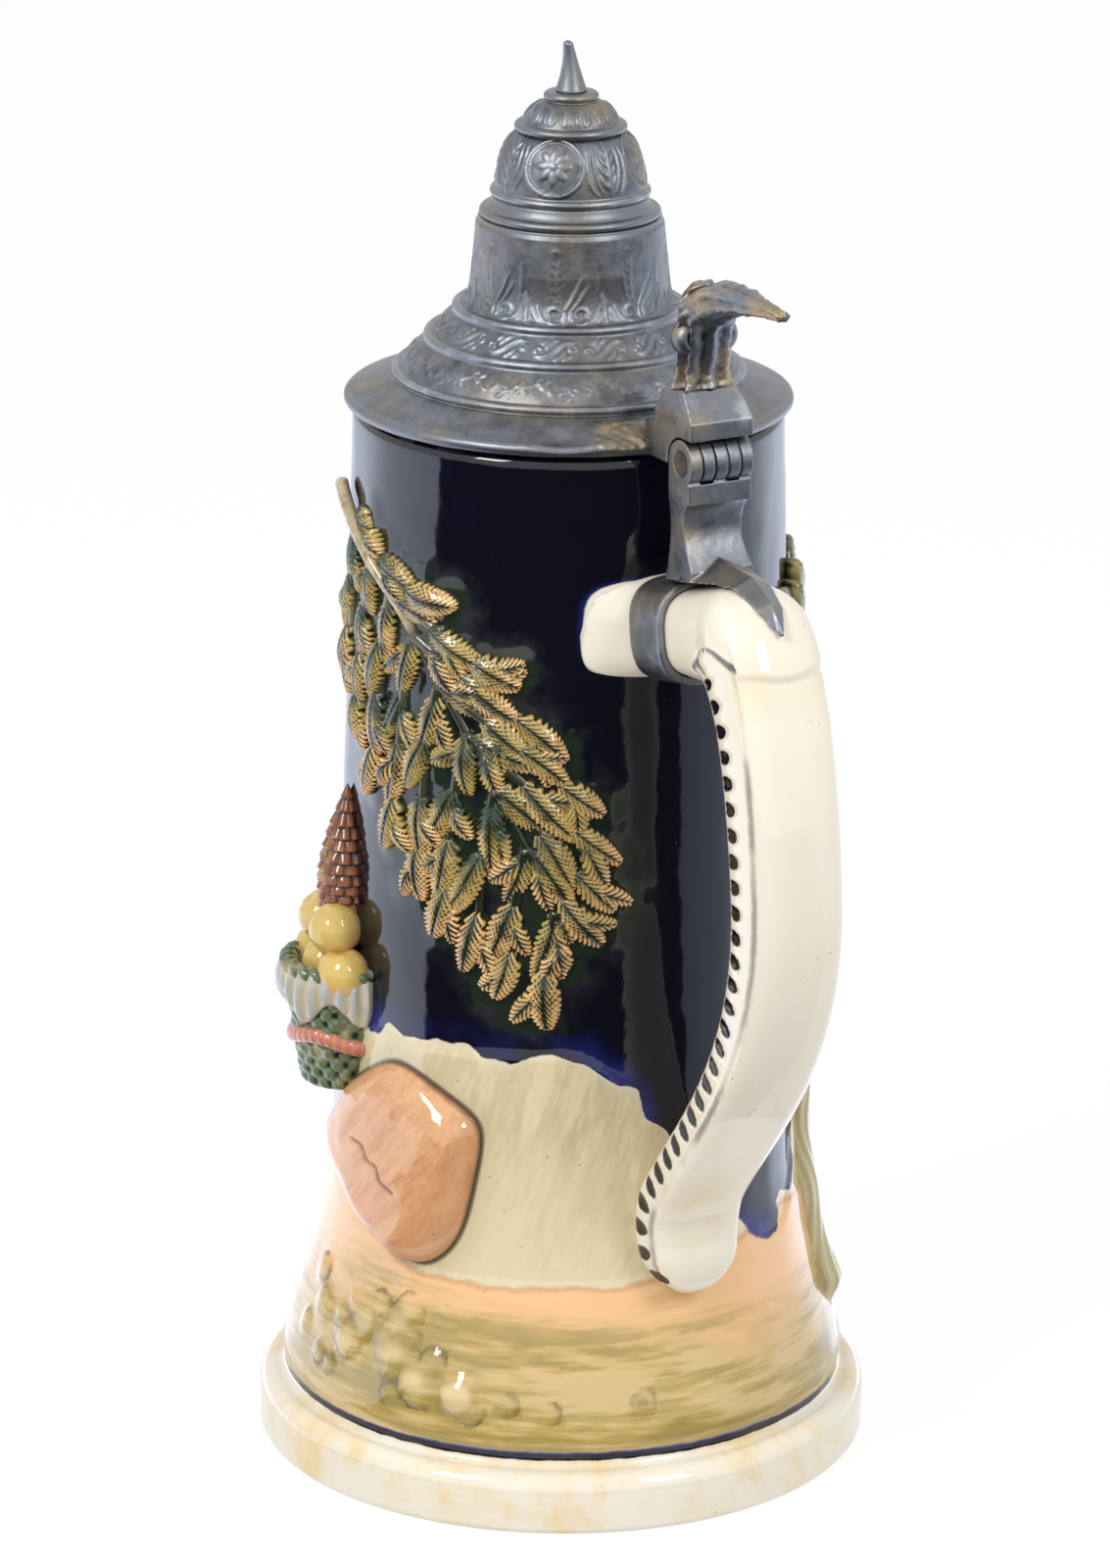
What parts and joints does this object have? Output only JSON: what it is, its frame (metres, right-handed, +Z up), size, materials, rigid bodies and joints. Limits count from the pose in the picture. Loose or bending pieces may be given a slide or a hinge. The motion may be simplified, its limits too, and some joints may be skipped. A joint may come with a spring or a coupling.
{
  "type": "lidded tankard",
  "caption": "Tall tapered ceramic tankard with a loop handle, applied relief and a domed pewter lid that a thumblift opens on a pinned hinge.",
  "frame": {"origin": "centre of the flat underside of the foot", "axes": "+Z up along the vessel's axis, +X towards the handle, the hinge pin lies along Y"},
  "size_m": [0.1626, 0.129, 0.2991],
  "materials": {
    "cobalt_glaze": "very glossy dark cobalt glaze over painted ground colours, cream inside",
    "cream_glaze": "glossy cream glaze",
    "pewter": "dark oxidised pewter, satin",
    "brown_pewter": "brown worn pewter, satin",
    "fir_glaze": "glossy olive green and ochre",
    "stone_glaze": "glossy tan brown wash",
    "basket_glaze": "glossy wicker brown with coloured fruit and cloth",
    "bark_glaze": "glossy pale bark with green tufts"
  },
  "bodies": {
    "tankard": {"vessel": "cobalt_glaze", "handle": "cream_glaze", "handle_strap": "pewter", "hinge_shank": "pewter", "hinge_pin": "pewter", "fir_boughs": "fir_glaze", "boulder": "stone_glaze", "fruit_basket": "basket_glaze", "tree": "bark_glaze"},
    "lid": {"hinge_leaf": "pewter", "thumblift": "brown_pewter", "lid_base": "pewter", "lid_drum": "pewter", "lid_crown": "pewter", "finial": "pewter"}
  },
  "joints": [
    {"name": "lid_hinge", "type": "hinge", "parent": "tankard", "child": "lid", "pos_m": [0.0582, 0, 0.2258], "axis": [0, 1, 0], "range_deg": [0, 95]}
  ]
}
